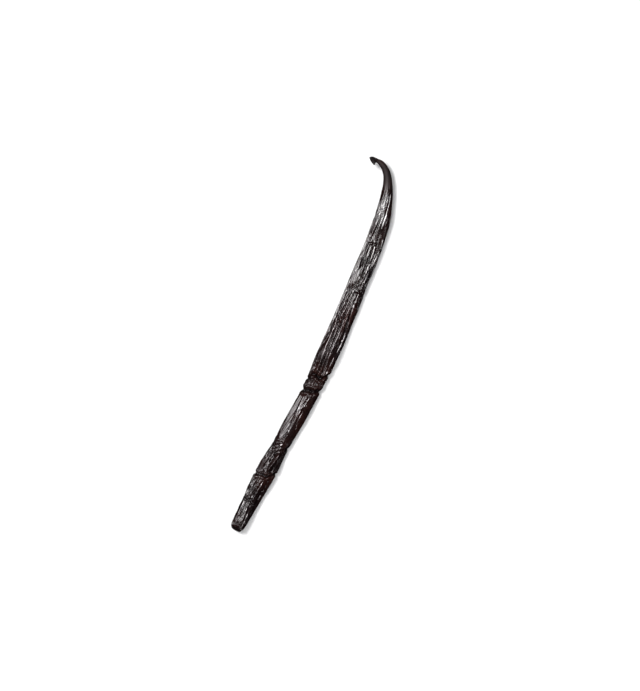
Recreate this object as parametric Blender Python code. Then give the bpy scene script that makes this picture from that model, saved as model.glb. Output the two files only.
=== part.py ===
"""A cured vanilla pod, lying as it would on a table.

The pod is one solid, lofted from rings along a bowed route: a flattened, ridged body with the creases of
its drying, the blunt blossom end at -Y, and at +Y a thin hooked neck that ends in a small flared scar,
where the pod grew from its stalk. It rests on the flattened strip under its belly.
+Z is up, +Y runs towards the stem end, and the origin is on the table under the middle of the pod's box.
"""

import math

import bpy
import numpy as np

MM = 0.001  # everything below is in millimetres and degrees

# A station is a distance along the pod from its blossom end. An azimuth goes round the pod from its right
# side, as seen from above with the stem end up: 0 right, 90 top, 180 left, 270 underside.
LENGTH = 165.0
PEDICEL_NECK = 155.0  # from here on the pod is only its thin stem
BLUNT_END = 4.0  # the blossom end rounds off within this distance

# (station, heading): the way the pod points there, from +Y towards +X.
HEADING = (
    (0, 7.5), (10, 6.5), (24, 10), (34, 8.5), (58, 9), (72, 4.8), (84, 3.6), (115, 2.8), (125, 0.5),
    (133, -3), (145, -9.5), (150, -15), (154, -24), (157.5, -42), (160.5, -61), (162.7, -88),
    (164.3, -120), (165, -143),
)
# (station, pitch): how steeply it climbs away from the table.
PITCH = ((0, 0), (105, 0), (130, 2.5), (150, 5), (160, 9), (165, 25))
# (station, width) across the pod, as seen from above.
WIDTH = (
    (0, 4.2), (0.8, 5.2), (4, 5.8), (13, 6.7), (21, 7.6), (29, 8.0), (37.5, 6.7), (52, 7.5),
    (62, 7.2), (69, 7.3), (79, 8.1), (97, 7.8), (107, 7.3), (120, 7.3), (129, 6.7),
    (136, 6.4), (145, 4.8), (153, 3.1), (160, 2.2), (162.6, 1.8), (164.2, 2.9), (165, 3.1),
)
# (station, height over width) of the section.
FLATNESS = ((0, 0.8), (12, 0.72), (30, 0.68), (110, 0.68), (140, 0.75), (155, 0.92), (165, 0.95))
BELLY_SQUASH = 0.08  # share of the half height that the pod's own weight presses flat

# (station, azimuth): where the highest of the three lobes of the section runs.
CREST = ((0, 95), (20, 98), (30, 84), (43, 86), (60, 104), (72, 84), (106, 82), (126, 98), (165, 90))
LOBES = 3
LOBE_HEIGHT = 0.05  # of the local width

RIDGES = 11
RIDGE_HEIGHT = 0.026  # of the local width, either side of the mean
RIDGE_DRIFT = 34.0  # degrees that the ridges wander round the pod

# Creases across the pod: station on the top line, how much further along they are on the right side than
# on the top, depth, half width, azimuth of the deepest point, and how far they reach to each side of it.
CREASES = (
    (13.4, 0.0, 0.35, 0.7, 110, 70),
    (25.9, 1.6, 0.60, 0.8, 90, 170),
    (37.4, 0.8, 0.35, 0.9, 10, 60),
    (63.3, 0.8, 0.45, 0.7, 110, 160),
    (69.6, 1.2, 0.50, 0.7, 90, 160),
    (73.8, 0.0, 0.30, 0.6, 150, 45),
    (101.2, 0.0, 0.40, 0.7, 25, 45),
    (107.0, 0.3, 0.45, 0.7, 50, 100),
    (127.0, -0.6, 0.25, 0.7, 120, 70),
)

AROUND = 40  # vertices in a ring
RING_GAP = 3.0
CREASE_RINGS = (-1.2, -0.6, 0.0, 0.6, 1.2)  # extra rings beside a crease
TIP_GAP = 0.7  # between rings in the hooked neck, and at the blossom end
# The ends close over a hollow: (share of the end's radius, depth) of each ring that leads into it.
BLOSSOM_DISH = ((0.72, 0.12), (0.4, 0.3))
STEM_CUP = ((0.74, 0.3), (0.45, 0.8))

SKIN_COLOUR = (0.018, 0.012, 0.010, 1.0)
SKIN_ROUGHNESS = 0.38


def eased(points, at):
    """A smooth curve through the (station, value) points, with no overshoot between them."""
    x, y = np.array(points, float).T
    gap = np.diff(x)
    rise = np.diff(y) / gap
    slope = np.zeros_like(x)
    product, total = rise[:-1] * rise[1:], rise[:-1] + rise[1:]
    turning = product > 0
    slope[1:-1][turning] = 2 * product[turning] / total[turning]
    i = np.clip(np.searchsorted(x, at, side="right") - 1, 0, len(x) - 2)
    t = (at - x[i]) / gap[i]
    ends = y[i] * (1 + 2 * t) * (1 - t) ** 2 + y[i + 1] * t * t * (3 - 2 * t)
    return ends + gap[i] * t * (1 - t) * (slope[i] * (1 - t) - slope[i + 1] * t)


def ring_stations():
    """Where the rings go: evenly along the body, and closer at the ends and beside the creases."""
    body = np.arange(BLUNT_END, PEDICEL_NECK - 8, RING_GAP)
    ends = [0, 0.25, 0.8, 1.8, *np.arange(PEDICEL_NECK - 7, LENGTH, TIP_GAP), LENGTH]
    beside = [crease[0] + offset for crease in CREASES for offset in CREASE_RINGS]
    kept = []
    for station in sorted([*body, *ends, *beside]):
        if not kept or station - kept[-1] > 0.22:
            kept.append(station)
    kept[-1] = LENGTH
    return np.array(kept)


def route(stations):
    """The centre of each ring, with the unit vectors along the pod, to its right and upwards."""
    fine = np.linspace(0, LENGTH, 3301)
    heading, pitch = np.radians(eased(HEADING, fine)), np.radians(eased(PITCH, fine))
    along = np.stack([np.sin(heading) * np.cos(pitch), np.cos(heading) * np.cos(pitch), np.sin(pitch)], 1)
    path = np.cumsum(along, 0) * (fine[1] - fine[0])
    centre = np.stack([np.interp(stations, fine, axis) for axis in path.T], 1)
    tangent = np.stack([np.interp(stations, fine, axis) for axis in along.T], 1)
    tangent /= np.linalg.norm(tangent, axis=1)[:, None]
    right = np.cross(tangent, (0, 0, 1))
    right /= np.linalg.norm(right, axis=1)[:, None]
    resting = np.clip(stations, BLUNT_END, PEDICEL_NECK)
    half_height = eased(WIDTH, resting) * eased(FLATNESS, resting) / 2
    centre[:, 2] += half_height * (1 - BELLY_SQUASH)
    return centre, tangent, right, np.cross(right, tangent)


def angle_from(azimuth, other):
    """The angle between two azimuths, from -180 to 180 degrees."""
    return (azimuth - other + 180) % 360 - 180


def relief(station, azimuth):
    """How far the skin stands out from the plain section, which the belly keeps, at each place on it."""
    width = eased(WIDTH, station)
    lobes = LOBE_HEIGHT * width * np.cos(np.radians(LOBES * (azimuth - eased(CREST, station))))
    drift = RIDGE_DRIFT * np.sin(station / 21) + RIDGE_DRIFT / 2 * np.sin(station / 7.7 + 1)
    uneven = 0.65 + 0.35 * np.sin(np.radians(2 * azimuth) + station / 13)
    ridges = RIDGE_HEIGHT * width * uneven * np.cos(np.radians(RIDGES * azimuth + drift))
    out = (lobes + ridges) * (1 - np.clip(-np.sin(np.radians(azimuth)), 0, 1) ** 2)
    for at, slant, depth, half_width, deepest, reach in CREASES:
        away = (station - at - slant * np.cos(np.radians(azimuth))) / half_width
        fade = np.exp(-((angle_from(azimuth, deepest) / reach) ** 2))
        out = out - depth * fade * (np.exp(-(away**2)) - 0.25 * np.exp(-((abs(away) - 2) ** 2)))
    return out


def skin_rings():
    """The rings of the outer skin, from the blossom end to the stem scar, as an array of points."""
    stations = ring_stations()
    centre, _, right, up = route(stations)
    azimuth = np.arange(AROUND) * 360 / AROUND
    station_grid, azimuth_grid = np.meshgrid(stations, azimuth, indexing="ij")
    half_width = eased(WIDTH, stations)[:, None] / 2
    half_height = half_width * eased(FLATNESS, stations)[:, None]
    across, upwards = np.cos(np.radians(azimuth)), np.sin(np.radians(azimuth))
    normal = np.stack([half_height * across, half_width * upwards], 2)
    normal /= np.linalg.norm(normal, axis=2)[:, :, None]
    out = relief(station_grid, azimuth_grid)
    side = half_width * across + out * normal[:, :, 0]
    rise = half_height * upwards + out * normal[:, :, 1]
    rings = centre[:, None] + side[:, :, None] * right[:, None] + rise[:, :, None] * up[:, None]
    rings[:, :, 2] = np.maximum(rings[:, :, 2], 0)
    return rings


def hollow_rings(rim, inwards, hollow):
    """Rings that lead from an end's rim into its hollow, ending in a single point."""
    middle = rim.mean(0)
    rings = [middle + share * (rim - middle) + depth * inwards for share, depth in hollow]
    return rings, middle + hollow[-1][1] * inwards


def pod_mesh():
    """The closed mesh of the pod, in metres, with its box centred over the origin."""
    rings = skin_rings()
    _, tangent, _, _ = route(np.array([0, LENGTH]))
    dish, dish_point = hollow_rings(rings[0], tangent[0], BLOSSOM_DISH)
    cup, cup_point = hollow_rings(rings[-1], -tangent[1], STEM_CUP)
    loops = np.array([*dish[::-1], *rings, *cup])
    points = np.concatenate([loops.reshape(-1, 3), [dish_point, cup_point]])
    points[:, :2] -= (points.min(0) + points.max(0))[:2] / 2

    faces = []
    for ring in range(len(loops) - 1):
        for i in range(AROUND):
            a, b = ring * AROUND + i, ring * AROUND + (i + 1) % AROUND
            faces.append((a, a + AROUND, b + AROUND, b))
    last, dish_index, cup_index = (len(loops) - 1) * AROUND, len(points) - 2, len(points) - 1
    for i in range(AROUND):
        j = (i + 1) % AROUND
        faces.append((dish_index, i, j))
        faces.append((cup_index, last + j, last + i))
    mesh = bpy.data.meshes.new("vanilla_pod")
    mesh.from_pydata((points * MM).tolist(), [], faces)
    mesh.shade_smooth()
    mesh.set_sharp_from_angle(angle=math.radians(50))
    return mesh


def skin_material():
    """The oily, nearly black skin of a cured pod."""
    material = bpy.data.materials.new("pod_skin")
    material.use_nodes = True
    shader = material.node_tree.nodes["Principled BSDF"]
    shader.inputs["Base Color"].default_value = SKIN_COLOUR
    shader.inputs["Roughness"].default_value = SKIN_ROUGHNESS
    shader.inputs["Metallic"].default_value = 0.0
    return material


def main():
    for obj in list(bpy.data.objects):
        bpy.data.objects.remove(obj)
    pod = bpy.data.objects.new("vanilla_pod", pod_mesh())
    pod.data.materials.append(skin_material())
    bpy.context.scene.collection.objects.link(pod)


main()
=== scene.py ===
"""The cured vanilla pod, close up: its wrinkled, oily skin, on a white table under soft studio light."""

import math

import bpy
import numpy as np
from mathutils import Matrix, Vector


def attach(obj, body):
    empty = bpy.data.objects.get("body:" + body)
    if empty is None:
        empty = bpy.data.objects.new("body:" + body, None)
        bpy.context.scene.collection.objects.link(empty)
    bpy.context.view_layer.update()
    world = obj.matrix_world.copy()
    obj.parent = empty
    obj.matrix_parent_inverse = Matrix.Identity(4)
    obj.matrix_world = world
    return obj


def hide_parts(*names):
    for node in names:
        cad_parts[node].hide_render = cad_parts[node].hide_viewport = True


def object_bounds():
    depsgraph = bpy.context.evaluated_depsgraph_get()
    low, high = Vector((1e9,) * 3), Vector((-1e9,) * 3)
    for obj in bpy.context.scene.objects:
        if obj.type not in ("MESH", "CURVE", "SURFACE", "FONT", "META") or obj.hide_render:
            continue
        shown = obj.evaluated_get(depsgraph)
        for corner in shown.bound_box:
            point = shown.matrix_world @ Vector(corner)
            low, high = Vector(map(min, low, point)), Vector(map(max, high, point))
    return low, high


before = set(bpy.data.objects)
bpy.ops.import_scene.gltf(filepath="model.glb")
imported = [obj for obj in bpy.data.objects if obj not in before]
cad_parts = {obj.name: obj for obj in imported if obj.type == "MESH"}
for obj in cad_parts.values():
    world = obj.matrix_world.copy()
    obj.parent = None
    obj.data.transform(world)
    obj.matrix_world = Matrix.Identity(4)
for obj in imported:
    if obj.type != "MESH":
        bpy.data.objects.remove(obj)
cad_low, cad_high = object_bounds()

MM = 0.001  # the pod's sizes are in millimetres, and its angles in degrees
SEED = 71

# ---- The pod's form. A station is a distance along the pod from its blossom end. An azimuth goes round it:
# 0 right as seen from above with the stem end up, 90 top, 180 left, 270 underside.
LENGTH = 165.0
PEDICEL_NECK = 155.0  # past this the pod's height above the table no longer follows its thickness
BLUNT_END = 4.0  # and before this, at the blossom end
BLOSSOM_RISES = 20.0  # from here to the blossom end, the pod lifts a little off the table
BLOSSOM_SLANT = 0.32  # how far the end face leans back, for each mm up it
BLOSSOM_REACH = 0.32  # how far its lower lip reaches out
BLOSSOM_LEAN = 6.0  # the stretch that the lean fades over
# (station, value): which way the pod heads, how it climbs, its width, and its height as a share of that.
HEADING = (
    (0, 7.5), (10, 6.5), (24, 10), (34, 8.5), (58, 9), (72, 4.8), (84, 3.6), (115, 2.8), (125, 0.5),
    (133, -3), (145, -9.5), (150, -15), (154, -24), (157.5, -42), (160.5, -61), (162.7, -88),
    (164.3, -120), (165, -143),
)
PITCH = ((0, -7), (10, -6), (20, 0), (105, 0), (130, 2.5), (150, 5), (160, 9), (165, 17))
WIDTH = (
    (0, 4.2), (0.8, 5.2), (4, 5.8), (13, 6.6), (21, 7.5), (29, 7.9), (37.5, 6.6), (52, 7.4),
    (62, 7.1), (69, 7.2), (79, 8.0), (97, 7.8), (107, 7.3), (120, 7.3), (129, 6.7), (135, 6.6),
    (139, 6.3), (143.6, 5.4), (148.6, 4.5), (152.4, 3.65), (155.6, 3.1), (158.8, 2.6), (161, 2.2),
    (162.9, 1.6), (163.8, 2.1), (164.5, 3.0), (165, 3.7),
)
FLATNESS = ((0, 0.8), (12, 0.72), (30, 0.68), (110, 0.68), (140, 0.75), (155, 0.92), (165, 0.95))
BELLY_SQUASH = 0.08  # share of the half height by which the belly is pressed flat
BELLY_RELIEF = 0.3  # share of the wrinkles' height that is left on the belly
GIRTH = 2.7  # the way round the section, over its width
CREST = ((0, 95), (20, 98), (30, 84), (43, 86), (60, 104), (72, 84), (106, 82), (126, 98), (165, 90))
# A cured pod is faintly three-sided, and CREST is the azimuth of one of its edges.
LOBES = 3
LOBE_HEIGHT = 0.022

# ---- The skin's wrinkles.
# (station, height) of the broad folds, of the strands on them, of the fine lines on those, and of the
# crumpling.
FOLD_HEIGHT = (
    (0, 0.3), (13, 0.35), (24, 0.4), (28, 0.6), (36, 0.4), (44, 0.1), (60, 0.1), (66, 0.4), (75, 0.65),
    (120, 0.6), (143, 0.3), (151, 0.08), (156, 0), (163, 0.05), (165, 0.45),
)
STRAND_HEIGHT = (
    (0, 0.42), (14, 0.42), (24, 0.38), (28, 0.35), (35, 0.25), (41, 0.2), (60, 0.2), (65, 0.3), (70, 0.8),
    (84, 0.9), (98, 0.85), (120, 0.7), (140, 0.45), (147, 0.25), (152, 0.12), (157, 0.03), (165, 0.02),
)
LINE_HEIGHT = (
    (0, 0.14), (30, 0.12), (42, 0.12), (60, 0.1), (66, 0.12), (73, 0.1), (94, 0.1), (110, 0.14), (144, 0.12),
    (152, 0.06), (165, 0.03),
)
CRUMPLE_HEIGHT = (
    (0, 0.14), (5, 0.12), (12, 0.08), (16, 0.14), (24, 0.12), (30, 0.08), (36, 0.05), (46, 0.02),
    (60, 0.02), (64, 0.25), (69, 0.25), (73, 0.03), (78, 0.01), (150, 0.01), (160, 0), (165, 0.1),
)
# (station, roundness): low where the strands are flat on top with narrow grooves, high where they are
# round.
ROUNDNESS = ((0, 0.6), (66, 0.6), (74, 2.2), (94, 2.2), (106, 0.6), (165, 0.6))
# (station, share): how far the skin is dry and matte there, in place of oily.
MATTE = (
    (0, 0), (14, 0.05), (22, 0), (26, 0.45), (36, 0.4), (41, 0.3), (60, 0.28), (65, 0.5), (73, 0.44), (94, 0.36),
    (106, 0), (144, 0), (154, 0.92), (165, 1),
)
FOLDS_AROUND = 9
STRANDS_AROUND = 11
LINES_AROUND = 24
# (station, degrees): how far the wrinkles have turned round the pod there.
TWIST = ((0, 14), (24, 0), (36, 0), (38, 10), (42, 66), (44, 74), (62, 80), (74, 84), (110, 70), (165, 95))

CREASE_WANDER = 0.45
RIDGE_FADE = 1.5
CALM_DEPTH = 0.15  # how deep a facet cuts where it is at its calmest

# Creases across the pod: the way it runs as (azimuth, station) points, depth, half width, the azimuth of
# the deepest place, and how far it reaches to each side of that.
CREASES = (
    (((30, 11.6), (95, 13.0), (150, 13.6)), 0.4, 0.35, 115, 60),
    (((30, 27.0), (77, 24.8), (147, 23.9)), 0.75, 0.5, 80, 170),
    (((-10, 38.2), (50, 37.6)), 0.45, 0.7, 5, 45),
    (((30, 64.4), (90, 63.1), (155, 62.4)), 0.95, 0.75, 100, 150),
    (((33, 71.6), (74, 69.1), (131, 69.9), (158, 67.3)), 1.1, 0.6, 90, 120),
    (((110, 74.6), (160, 74.0)), 0.35, 0.3, 140, 30),
    (((15, 101.0), (60, 101.6)), 0.5, 0.4, 25, 32),
    (((10, 106.4), (60, 106.9)), 0.55, 0.45, 35, 38),
    (((60, 127.4), (150, 126.6)), 0.2, 0.4, 120, 40),
)
# Ridges that stand out from the rest: (station, azimuth) points from end to end, height, half width.
# A furrow has a height below zero.
RIDGES = (
    (((16, 90), (24, 100)), 0.4, 0.5),
    (((27.0, 88), (31, 80), (35.4, 72)), 0.65, 0.35),
    (((26.5, 112), (31, 104), (36.0, 96)), -0.4, 0.6),
    (((26.5, 62), (31, 56), (36.0, 50)), -0.45, 0.5),
    (((33.6, 132), (35.4, 104), (37.2, 76)), 0.45, 0.27),
    (((35.0, 142), (36.8, 112), (38.6, 80)), 0.5, 0.26),
    (((36.6, 148), (38.6, 116), (40.4, 84)), 0.5, 0.26),
    (((38.4, 154), (40.2, 122), (42.2, 86)), 0.5, 0.26),
    (((35.6, 96), (37.2, 72), (38.8, 52)), 0.42, 0.26),
    (((27.5, 128), (33, 140)), 0.2, 0.3),
    (((42, 84), (45.6, 97), (51, 104), (62.4, 116)), 0.18, 0.3),
    (((70.5, 54), (77.8, 46), (82.3, 50), (88, 32)), 0.22, 0.3),
    (((89.5, 74), (94, 71), (101, 70), (106.4, 78)), 0.22, 0.3),
)
# Flattened facets, where the pod has dried in: (station, distance from the section's centre, way it faces)
# points, and how much calmer the wrinkles are on it.
FACETS = (
    (((36, 3.6, 112), (41, 2.2, 112), (51, 2.3, 116), (60.5, 2.5, 120), (64, 3.9, 122)), 0.55),
)
FACET_EDGE = 0.07

# ---- The mesh.
AROUND_TOP = 160  # columns from azimuth -20 to 200
AROUND_BELLY = 22
RING_GAP = 0.38
FINE_GAP = 0.2
HOLLOW_RINGS = 7
HOLLOW_HEIGHT = -0.4  # the relief value given to the end hollows, so that the skin's painted shade darkens them
BLOSSOM_DEPTH = 0.45
BLOSSOM_LIP = 0.1
STEM_DEPTH = 1.2
STEM_LIP = 0.15
UV_MARGIN = 0.02
NOISE_GAIN = 1.6

# ---- Colours, linear.
SKIN_DARK = (0.0070, 0.0035, 0.0036)
SKIN_BROWN = (0.0165, 0.0070, 0.0062)
SKIN_RED = (0.034, 0.0105, 0.0075)
TABLE_WHITE = (0.86, 0.86, 0.865)


def eased(points, at):
    """A smooth curve through the (station, value) points, with no overshoot between them."""
    x, y = np.array(points, float).T
    gap = np.diff(x)
    rise = np.diff(y) / gap
    slope = np.zeros_like(x)
    product, total = rise[:-1] * rise[1:], rise[:-1] + rise[1:]
    turning = product > 0
    slope[1:-1][turning] = 2 * product[turning] / total[turning]
    at = np.clip(at, x[0], x[-1])
    i = np.clip(np.searchsorted(x, at, side="right") - 1, 0, len(x) - 2)
    t = (at - x[i]) / gap[i]
    ends = y[i] * (1 + 2 * t) * (1 - t) ** 2 + y[i + 1] * t * t * (3 - 2 * t)
    return ends + gap[i] * t * (1 - t) * (slope[i] * (1 - t) - slope[i + 1] * t)


def angle_from(azimuth, other):
    """The angle between two azimuths, from -180 to 180 degrees."""
    return (azimuth - other + 180) % 360 - 180


def noise(station, azimuth, around, length, seed):
    """Smooth noise from about -1 to 1, whose features are 360 / around degrees wide and length mm long."""
    rows = int(LENGTH / length) + 8
    turn = np.random.default_rng(SEED + seed).uniform(0, 2 * np.pi, (rows, around))
    u, v = azimuth / 360 * around, np.clip(station / length + 3, 0, rows - 2)
    i, j = np.floor(u).astype(int), np.floor(v).astype(int)
    u, v = u - i, v - j
    ease_u, ease_v = (t**3 * (t * (t * 6 - 15) + 10) for t in (u, v))

    def corner(di, dj):
        angle = turn[j + dj, (i + di) % around]
        return np.cos(angle) * (u - di) + np.sin(angle) * (v - dj)

    low = corner(0, 0) * (1 - ease_u) + corner(1, 0) * ease_u
    high = corner(0, 1) * (1 - ease_u) + corner(1, 1) * ease_u
    return NOISE_GAIN * (low * (1 - ease_v) + high * ease_v)


def grooved(field, sharpness):
    """Rounded ridges between narrow grooves that follow the zeros of a noise field; from 0 to 1."""
    depth = np.abs(field)
    return depth * (1 + sharpness) / (depth + sharpness)


def stations():
    """Where the rings go: closer at both ends and beside the creases."""
    spots = [points[len(points) // 2][1] for points, *_ in CREASES]
    at, places = 0.0, [0.0]
    while at < LENGTH:
        near = min(abs(at - spot) for spot in spots)
        close = near < 2.0 or at < 2.0 or at > LENGTH - 3.5
        at += FINE_GAP if close else min(RING_GAP, FINE_GAP + (near - 2.0) * 0.2 + 0.1)
        places.append(at)
    places[-1] = LENGTH
    return np.array(places)


def azimuths():
    """Where the columns go: close over the top and the sides, and wider on the belly."""
    top = np.linspace(-20, 200, AROUND_TOP, endpoint=False)
    return np.concatenate([top, np.linspace(200, 340, AROUND_BELLY, endpoint=False)])


def route(at):
    """The centre at each station, with the unit vectors along the pod, to its right and upwards."""
    fine = np.linspace(0, LENGTH, 3301)
    heading, pitch = np.radians(eased(HEADING, fine)), np.radians(eased(PITCH, fine))
    along = np.stack([np.sin(heading) * np.cos(pitch), np.cos(heading) * np.cos(pitch), np.sin(pitch)], 1)
    path = np.cumsum(along, 0) * (fine[1] - fine[0])
    path[:, 2] -= np.interp(BLOSSOM_RISES, fine, path[:, 2])
    centre = np.stack([np.interp(at, fine, axis) for axis in path.T], 1)
    tangent = np.stack([np.interp(at, fine, axis) for axis in along.T], 1)
    tangent /= np.linalg.norm(tangent, axis=1)[:, None]
    right = np.cross(tangent, (0, 0, 1))
    right /= np.linalg.norm(right, axis=1)[:, None]
    resting = np.clip(at, BLUNT_END, PEDICEL_NECK)
    half_height = eased(WIDTH, resting) * eased(FLATNESS, resting) / 2
    centre[:, 2] += half_height * (1 - BELLY_SQUASH)
    return centre, tangent, right, np.cross(right, tangent)


def strands(station, azimuth, around, wander, seed):
    """Ridges side by side that run along the pod and wander: 0 in the grooves between them, 1 on top."""
    roundness = eased(ROUNDNESS, station)
    bend = noise(station, azimuth, 4, 30, seed) + 0.35 * noise(station, azimuth, 7, 14, seed + 1)
    return grooved(np.sin(np.pi * (azimuth / 360 * around + wander * bend)), roundness)


def wrinkles(station, azimuth):
    """Height of the lengthwise wrinkles: broad folds, strands that split and rejoin, and fine lines. The
    last number in each call is its seed."""
    turned = azimuth + eased(TWIST, station)
    folds = grooved(noise(station, turned, FOLDS_AROUND, 30, 203), 1.2)
    main = strands(station, turned, STRANDS_AROUND, 1.2, 10)
    splits = strands(station, turned + 0.7 * station, STRANDS_AROUND, 1.6, 20)
    split_here = np.clip(0.3 + 1.2 * noise(station, azimuth, 4, 24, 30), 0, 0.8)
    main = main * (1 - split_here * (1 - splits))
    lines = strands(station, turned, LINES_AROUND, 2.6, 40)
    strength = 0.9 + 0.4 * noise(station, azimuth, 4, 18, 7)
    crumples = noise(station, turned, 18, 2.2, 9)
    heights = eased(FOLD_HEIGHT, station) * (folds - 0.5)
    heights = heights + strength * eased(STRAND_HEIGHT, station) * (main - 0.6)
    heights = heights + strength * eased(LINE_HEIGHT, station) * (lines - 0.6)
    return heights + eased(CRUMPLE_HEIGHT, station) * crumples


def creases(station, azimuth):
    """Depth of the creases across the pod, below zero, with a low rim on each side of them."""
    out = np.zeros_like(station)
    for points, depth, half_width, deepest, reach in CREASES:
        angle = angle_from(azimuth, deepest) + deepest
        path = eased([(a, s) for a, s in points], angle)
        wander = CREASE_WANDER * noise(station, azimuth, 12, 6, 8)
        away = (station - path - wander) / half_width
        fade = np.exp(-(np.abs(angle_from(azimuth, deepest) / reach) ** 3))
        out += depth * fade * (0.3 * np.exp(-((np.abs(away) - 2.2) ** 2)) - np.exp(-np.abs(away) ** 1.5))
    return out


def ridges(station, azimuth, width):
    """Height of the few strong ridges that run along the pod."""
    out = np.zeros_like(station)
    for points, height, half_width in RIDGES:
        first, last = points[0][0], points[-1][0]
        across = angle_from(azimuth, eased(points, station)) / 360 * GIRTH * width
        begins = np.clip((station - first) / RIDGE_FADE + 0.5, 0, 1)
        ends = np.clip((last - station) / RIDGE_FADE + 0.5, 0, 1)
        out += height * begins * ends * np.exp(-np.abs(across / half_width) ** 1.4)
    return out


def cut_facets(station, side, rise):
    """The section cut back by the flattened facets, and how calm the wrinkles are on them."""
    calm = np.ones_like(station)
    for points, calmer in FACETS:
        distance = eased([(s, d) for s, d, _ in points], station)
        faces = np.radians(eased([(s, a) for s, _, a in points], station))
        over = side * np.cos(faces) + rise * np.sin(faces) - distance
        cut = (over + np.sqrt(over**2 + FACET_EDGE**2)) / 2
        side, rise = side - cut * np.cos(faces), rise - cut * np.sin(faces)
        calm = calm * (1 - calmer * np.clip(cut / CALM_DEPTH, 0, 1))
    return side, rise, calm


def skin_points(station, azimuth, at):
    """The outer skin as (rings, columns, 3) points, and the height of its wrinkles at each of them."""
    centre, tangent, right, up = route(at)
    half_width = eased(WIDTH, station) / 2
    half_height = half_width * eased(FLATNESS, station)
    across, upwards = np.cos(np.radians(azimuth)), np.sin(np.radians(azimuth))
    normal = np.stack([half_height * across, half_width * upwards], 2)
    normal /= np.linalg.norm(normal, axis=2)[:, :, None]
    lobes = LOBE_HEIGHT * 2 * half_width * np.cos(np.radians(LOBES * (azimuth - eased(CREST, station))))
    above = 1 - np.clip(-upwards, 0, 1) ** 2
    side = half_width * across + lobes * above * normal[:, :, 0]
    rise = half_height * upwards + lobes * above * normal[:, :, 1]
    side, rise, calm = cut_facets(station, side, rise)
    relief = wrinkles(station, azimuth) * calm * (BELLY_RELIEF + (1 - BELLY_RELIEF) * above)
    relief = relief + creases(station, azimuth) + ridges(station, azimuth, 2 * half_width)
    side, rise = side + relief * normal[:, :, 0], rise + relief * normal[:, :, 1]
    lean_back = BLOSSOM_SLANT * (rise + half_height) - BLOSSOM_REACH
    lean_back = lean_back * np.clip(1 - station / BLOSSOM_LEAN, 0, 1) ** 2
    points = centre[:, None] + side[:, :, None] * right[:, None] + rise[:, :, None] * up[:, None]
    points = points + lean_back[:, :, None] * tangent[:, None]
    return points, relief


def end_rings(rim, inwards, depth, lip):
    """Rings that round over an end's lip and lead down into its hollow."""
    middle = rim.mean(0)
    rings = []
    for step in range(1, HOLLOW_RINGS + 1):
        t = step / (HOLLOW_RINGS + 1)
        sunk = depth * (1 - (1 - t) ** 2) - lip * math.sin(math.pi * min(t * 3, 1))
        rings.append(middle + (1 - t) * (rim - middle) + sunk * inwards)
    return rings


def pod_grid():
    """Every ring of the pod from one end's hollow to the other's, in metres, with the height of its relief at
    each point and how matte each ring is; the hollows get a set height, which paints shade into them."""
    at, around = stations(), azimuths()
    station, azimuth = np.meshgrid(at, around, indexing="ij")
    skin, relief = skin_points(station, azimuth, at)
    _, tangent, _, _ = route(np.array([0, LENGTH]))
    dish = end_rings(skin[0], tangent[0], BLOSSOM_DEPTH, BLOSSOM_LIP)
    cup = end_rings(skin[-1], -tangent[1], STEM_DEPTH, STEM_LIP)
    loops = np.array([*dish[::-1], *skin, *cup])
    hollow = np.full((HOLLOW_RINGS, len(around)), HOLLOW_HEIGHT)
    height = np.concatenate([hollow, relief, hollow])
    middle = (loops.reshape(-1, 3).min(0) + loops.reshape(-1, 3).max(0)) / 2
    loops[:, :, :2] -= middle[:2]
    loops[:, :, 2] = np.maximum(loops[:, :, 2], 0)
    matte = np.concatenate([np.ones(HOLLOW_RINGS), eased(MATTE, at), np.ones(HOLLOW_RINGS)])
    return loops * MM, height, matte


def grid_faces(rings, columns):
    """Faces of a tube of rings, closed at each end by a fan round one more point."""
    faces = []
    for ring in range(rings - 1):
        for i in range(columns):
            a, b = ring * columns + i, ring * columns + (i + 1) % columns
            faces.append((a, a + columns, b + columns, b))
    last, start_point = (rings - 1) * columns, rings * columns
    for i in range(columns):
        j = (i + 1) % columns
        faces.append((start_point, i, j))
        faces.append((start_point + 1, last + j, last + i))
    return faces


def unwrap(mesh, rings, columns, strips=3):
    """Lays the skin out flat in side by side strips of equal length along the pod."""
    layer = mesh.uv_layers.new(name="OFBake")
    per_strip = (rings - 1) / strips
    values = np.zeros((len(mesh.loops), 2))
    for polygon in mesh.polygons:
        index = polygon.index
        ring, column = divmod(min(index, (rings - 1) * columns - 1), columns)
        if index >= (rings - 1) * columns:
            cap, column = divmod(index - (rings - 1) * columns, 2)
            ring, column = (0 if column == 0 else rings - 2), cap
        strip = min(int(ring / per_strip), strips - 1)
        for corner, loop in enumerate(polygon.loop_indices):
            vertex = mesh.loops[loop].vertex_index
            if vertex >= rings * columns:
                row, across = (0 if vertex == rings * columns else rings - 1), column + 0.5
            else:
                row, place = divmod(vertex, columns)
                across = columns if place == 0 and column == columns - 1 else place
            values[loop, 0] = (strip + UV_MARGIN + (1 - 2 * UV_MARGIN) * across / columns) / strips
            values[loop, 1] = UV_MARGIN / 2 + (1 - UV_MARGIN) * (row - strip * per_strip) / (per_strip + 1)
    layer.data.foreach_set("uv", values.ravel())


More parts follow.
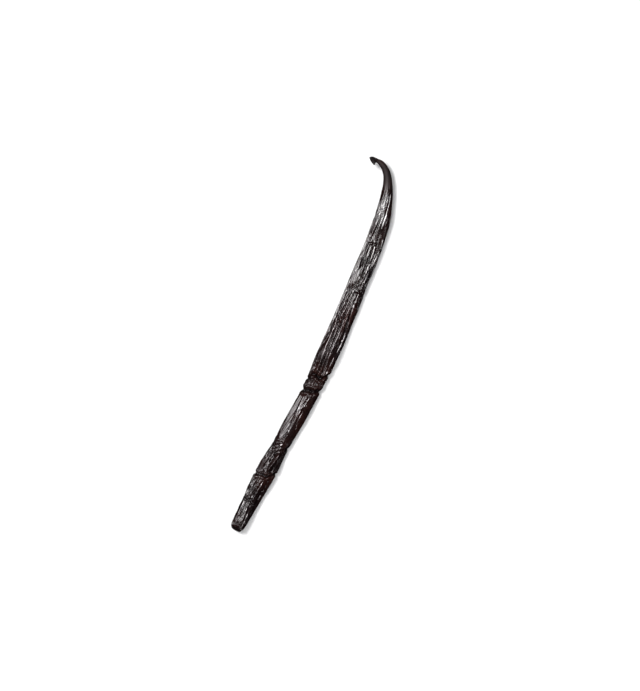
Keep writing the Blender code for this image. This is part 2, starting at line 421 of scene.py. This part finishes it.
def make_pod():
    """The pod's skin as one mesh, in the place of its solid."""
    loops, heights, mattes = pod_grid()
    rings, columns = loops.shape[:2]
    points = [*loops.reshape(-1, 3).tolist(), loops[0].mean(0).tolist(), loops[-1].mean(0).tolist()]
    mesh = bpy.data.meshes.new("pod")
    mesh.from_pydata(points, [], grid_faces(rings, columns))
    mesh.shade_smooth()
    height = mesh.attributes.new("height", "FLOAT", "POINT")
    height.data.foreach_set("value", [*heights.ravel(), HOLLOW_HEIGHT, HOLLOW_HEIGHT])
    matte = mesh.attributes.new("matte", "FLOAT", "POINT")
    matte.data.foreach_set("value", [*np.repeat(mattes, columns), 1, 1])
    unwrap(mesh, rings, columns)
    pod = bpy.data.objects.new("pod", mesh)
    bpy.context.scene.collection.objects.link(pod)
    pod.data.materials.append(skin_material())
    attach(pod, "root")
    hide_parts("vanilla_pod")


class Nodes:
    """Short calls to add and link the nodes of one material."""

    def __init__(self, name):
        self.material = bpy.data.materials.new(name)
        self.material.use_nodes = True
        self.tree = self.material.node_tree
        self.shader = self.tree.nodes["Principled BSDF"]

    def add(self, kind, **settings):
        node = self.tree.nodes.new(kind)
        for key, value in settings.items():
            setattr(node, key, value)
        return node

    def link(self, output, socket):
        self.tree.links.new(output, socket)

    def noise(self, scale, detail, roughness=0.5):
        """A noise texture in the object's own space; scale is in features per metre."""
        node = self.add("ShaderNodeTexNoise")
        node.inputs["Scale"].default_value = scale
        node.inputs["Detail"].default_value = detail
        node.inputs["Roughness"].default_value = roughness
        coordinates = self.add("ShaderNodeTexCoord")
        self.link(coordinates.outputs["Object"], node.inputs["Vector"])
        return node.outputs["Fac"]

    def attribute(self, name):
        return self.add("ShaderNodeAttribute", attribute_name=name).outputs["Fac"]

    def spread(self, value, low, high, to_low, to_high):
        """The value carried from low..high to to_low..to_high, and held at the ends."""
        node = self.add("ShaderNodeMapRange")
        ends = {"From Min": low, "From Max": high, "To Min": to_low, "To Max": to_high}
        for name, number in ends.items():
            node.inputs[name].default_value = number
        self.link(value, node.inputs["Value"])
        return node.outputs["Result"]

    def blend(self, amount, first, second):
        """One colour into another; each is a constant or an output."""
        node = self.add("ShaderNodeMix", data_type="RGBA")
        self.link(amount, node.inputs["Factor"])
        for colour, socket in ((first, node.inputs[6]), (second, node.inputs[7])):
            if isinstance(colour, tuple):
                socket.default_value = (*colour, 1)
            else:
                self.link(colour, socket)
        return node.outputs[2]


def gloss_value(n):
    """How rough the oily skin is, from place to place."""
    return n.spread(n.noise(420, 3, 0.6), 0.35, 0.65, 0.13, 0.24)


def skin_material():
    """Oily, nearly black skin: brown in patches, reddish in a few, unevenly glossy, with painted shade in its
    grooves.
    """
    n = Nodes("pod_skin")
    patches = n.spread(n.noise(170, 3), 0.42, 0.68, 0, 1)
    red = n.spread(n.noise(60, 2), 0.56, 0.7, 0, 0.55)
    height = n.attribute("height")
    # Painted shade: where the relief sinks, in grooves, creases and the end hollows, the colour darkens towards
    # 0.6 of the dark skin.
    grooves = n.spread(height, -0.45, 0.05, 1, 0)
    colour = n.blend(patches, SKIN_DARK, SKIN_BROWN)
    colour = n.blend(red, colour, SKIN_RED)
    colour = n.blend(grooves, colour, tuple(0.6 * c for c in SKIN_DARK))
    n.link(colour, n.shader.inputs["Base Color"])
    matte = n.attribute("matte")
    roughness = n.blend(n.spread(matte, 0.42, 1, 0, 1), gloss_value(n), (0.68, 0.68, 0.68))
    n.link(roughness, n.shader.inputs["Roughness"])
    n.link(n.spread(matte, 0, 0.42, 1, 0), n.shader.inputs["Coat Weight"])
    n.shader.inputs["Coat Roughness"].default_value = 0.1
    n.shader.inputs["Specular IOR Level"].default_value = 0.55
    n.shader.inputs["Specular Tint"].default_value = (1.0, 0.94, 0.955, 1)
    bump = n.add("ShaderNodeBump")
    bump.inputs["Strength"].default_value = 0.08
    bump.inputs["Distance"].default_value = 0.0001
    n.link(n.noise(5200, 2), bump.inputs["Height"])
    n.link(bump.outputs["Normal"], n.shader.inputs["Normal"])
    return n.material


TABLE_HALF = 1.5
TABLE_GAP = 0.00002


def make_table():
    """A plain white table, which isn't seen in the skin's gloss."""
    half = TABLE_HALF
    mesh = bpy.data.meshes.new("table")
    corners = [(-half, -half, 0), (half, -half, 0), (half, half, 0), (-half, half, 0)]
    mesh.from_pydata(corners, [], [(0, 1, 2, 3)])
    table = bpy.data.objects.new("table", mesh)
    table.location.z = cad_low.z - TABLE_GAP
    bpy.context.scene.collection.objects.link(table)
    n = Nodes("table_white")
    n.shader.inputs["Base Color"].default_value = (*TABLE_WHITE, 1)
    n.shader.inputs["Roughness"].default_value = 0.9
    n.shader.inputs["Specular IOR Level"].default_value = 0.1
    table.data.materials.append(n.material)
    table.visible_glossy = False


# ---- The view: straight down, with the pod leaning as it lies in the picture.
LEAN = math.radians(19.9)
PICTURE_LONG_SIDE = 0.2776
LENS = 120.0
SENSOR = 36.0
AIM = (0.0, 0.0017)  # what the middle of the picture is over, in the picture's right and up


def make_camera():
    data = bpy.data.cameras.new("camera")
    data.lens = LENS
    data.sensor_width = SENSOR
    camera = bpy.data.objects.new("camera", data)
    right, up = AIM
    x = right * math.cos(LEAN) - up * math.sin(LEAN)
    y = right * math.sin(LEAN) + up * math.cos(LEAN)
    camera.location = (x, y, PICTURE_LONG_SIDE * LENS / SENSOR)
    camera.rotation_euler = (0, 0, LEAN)
    bpy.context.scene.collection.objects.link(camera)
    bpy.context.scene.camera = camera


def area_lamp(name, azimuth, elevation, distance, size, power):
    """A square white lamp that faces the pod, placed as seen in the picture: azimuth 0 right, 90 up."""
    data = bpy.data.lights.new(name, "AREA")
    data.size = size
    data.energy = power
    lamp = bpy.data.objects.new(name, data)
    a, e = math.radians(azimuth) + LEAN, math.radians(elevation)
    way = (math.cos(a) * math.cos(e), math.sin(a) * math.cos(e), math.sin(e))
    lamp.location = [distance * w for w in way]
    middle = bpy.data.objects.new(name + "_aim", None)
    bpy.context.scene.collection.objects.link(middle)
    aim = lamp.constraints.new("TRACK_TO")
    aim.target = middle
    aim.track_axis = "TRACK_NEGATIVE_Z"
    aim.up_axis = "UP_Y"
    bpy.context.scene.collection.objects.link(lamp)
    return lamp


def make_world():
    """Soft light from above, and darkness from below the table's edge."""
    world = bpy.data.worlds.new("studio")
    world.use_nodes = True
    tree = world.node_tree
    background = tree.nodes["Background"]
    coordinates = tree.nodes.new("ShaderNodeTexCoord")
    parts = tree.nodes.new("ShaderNodeSeparateXYZ")
    fade = tree.nodes.new("ShaderNodeMapRange")
    fade.inputs["From Min"].default_value = -0.05
    fade.inputs["From Max"].default_value = 0.1
    fade.inputs["To Min"].default_value = 0.0
    fade.inputs["To Max"].default_value = 0.05
    tree.links.new(coordinates.outputs["Generated"], parts.inputs[0])
    tree.links.new(parts.outputs["Z"], fade.inputs["Value"])
    tree.links.new(fade.outputs["Result"], background.inputs["Strength"])
    bpy.context.scene.world = world


def make_lamps():
    area_lamp("key", 140, 60, 0.9, 0.24, 6.3)
    area_lamp("left", 160, 40, 0.9, 0.2, 1.3)
    area_lamp("near", 235, 70, 0.9, 0.14, 1.0)
    area_lamp("right", 350, 36, 0.9, 0.12, 0.6)
    fill = area_lamp("fill", 0, 90, 1.0, 1.4, 9.0)
    fill.visible_glossy = False


bpy.context.scene.view_settings.view_transform = "Standard"
make_camera()
make_table()
make_pod()
make_world()
make_lamps()
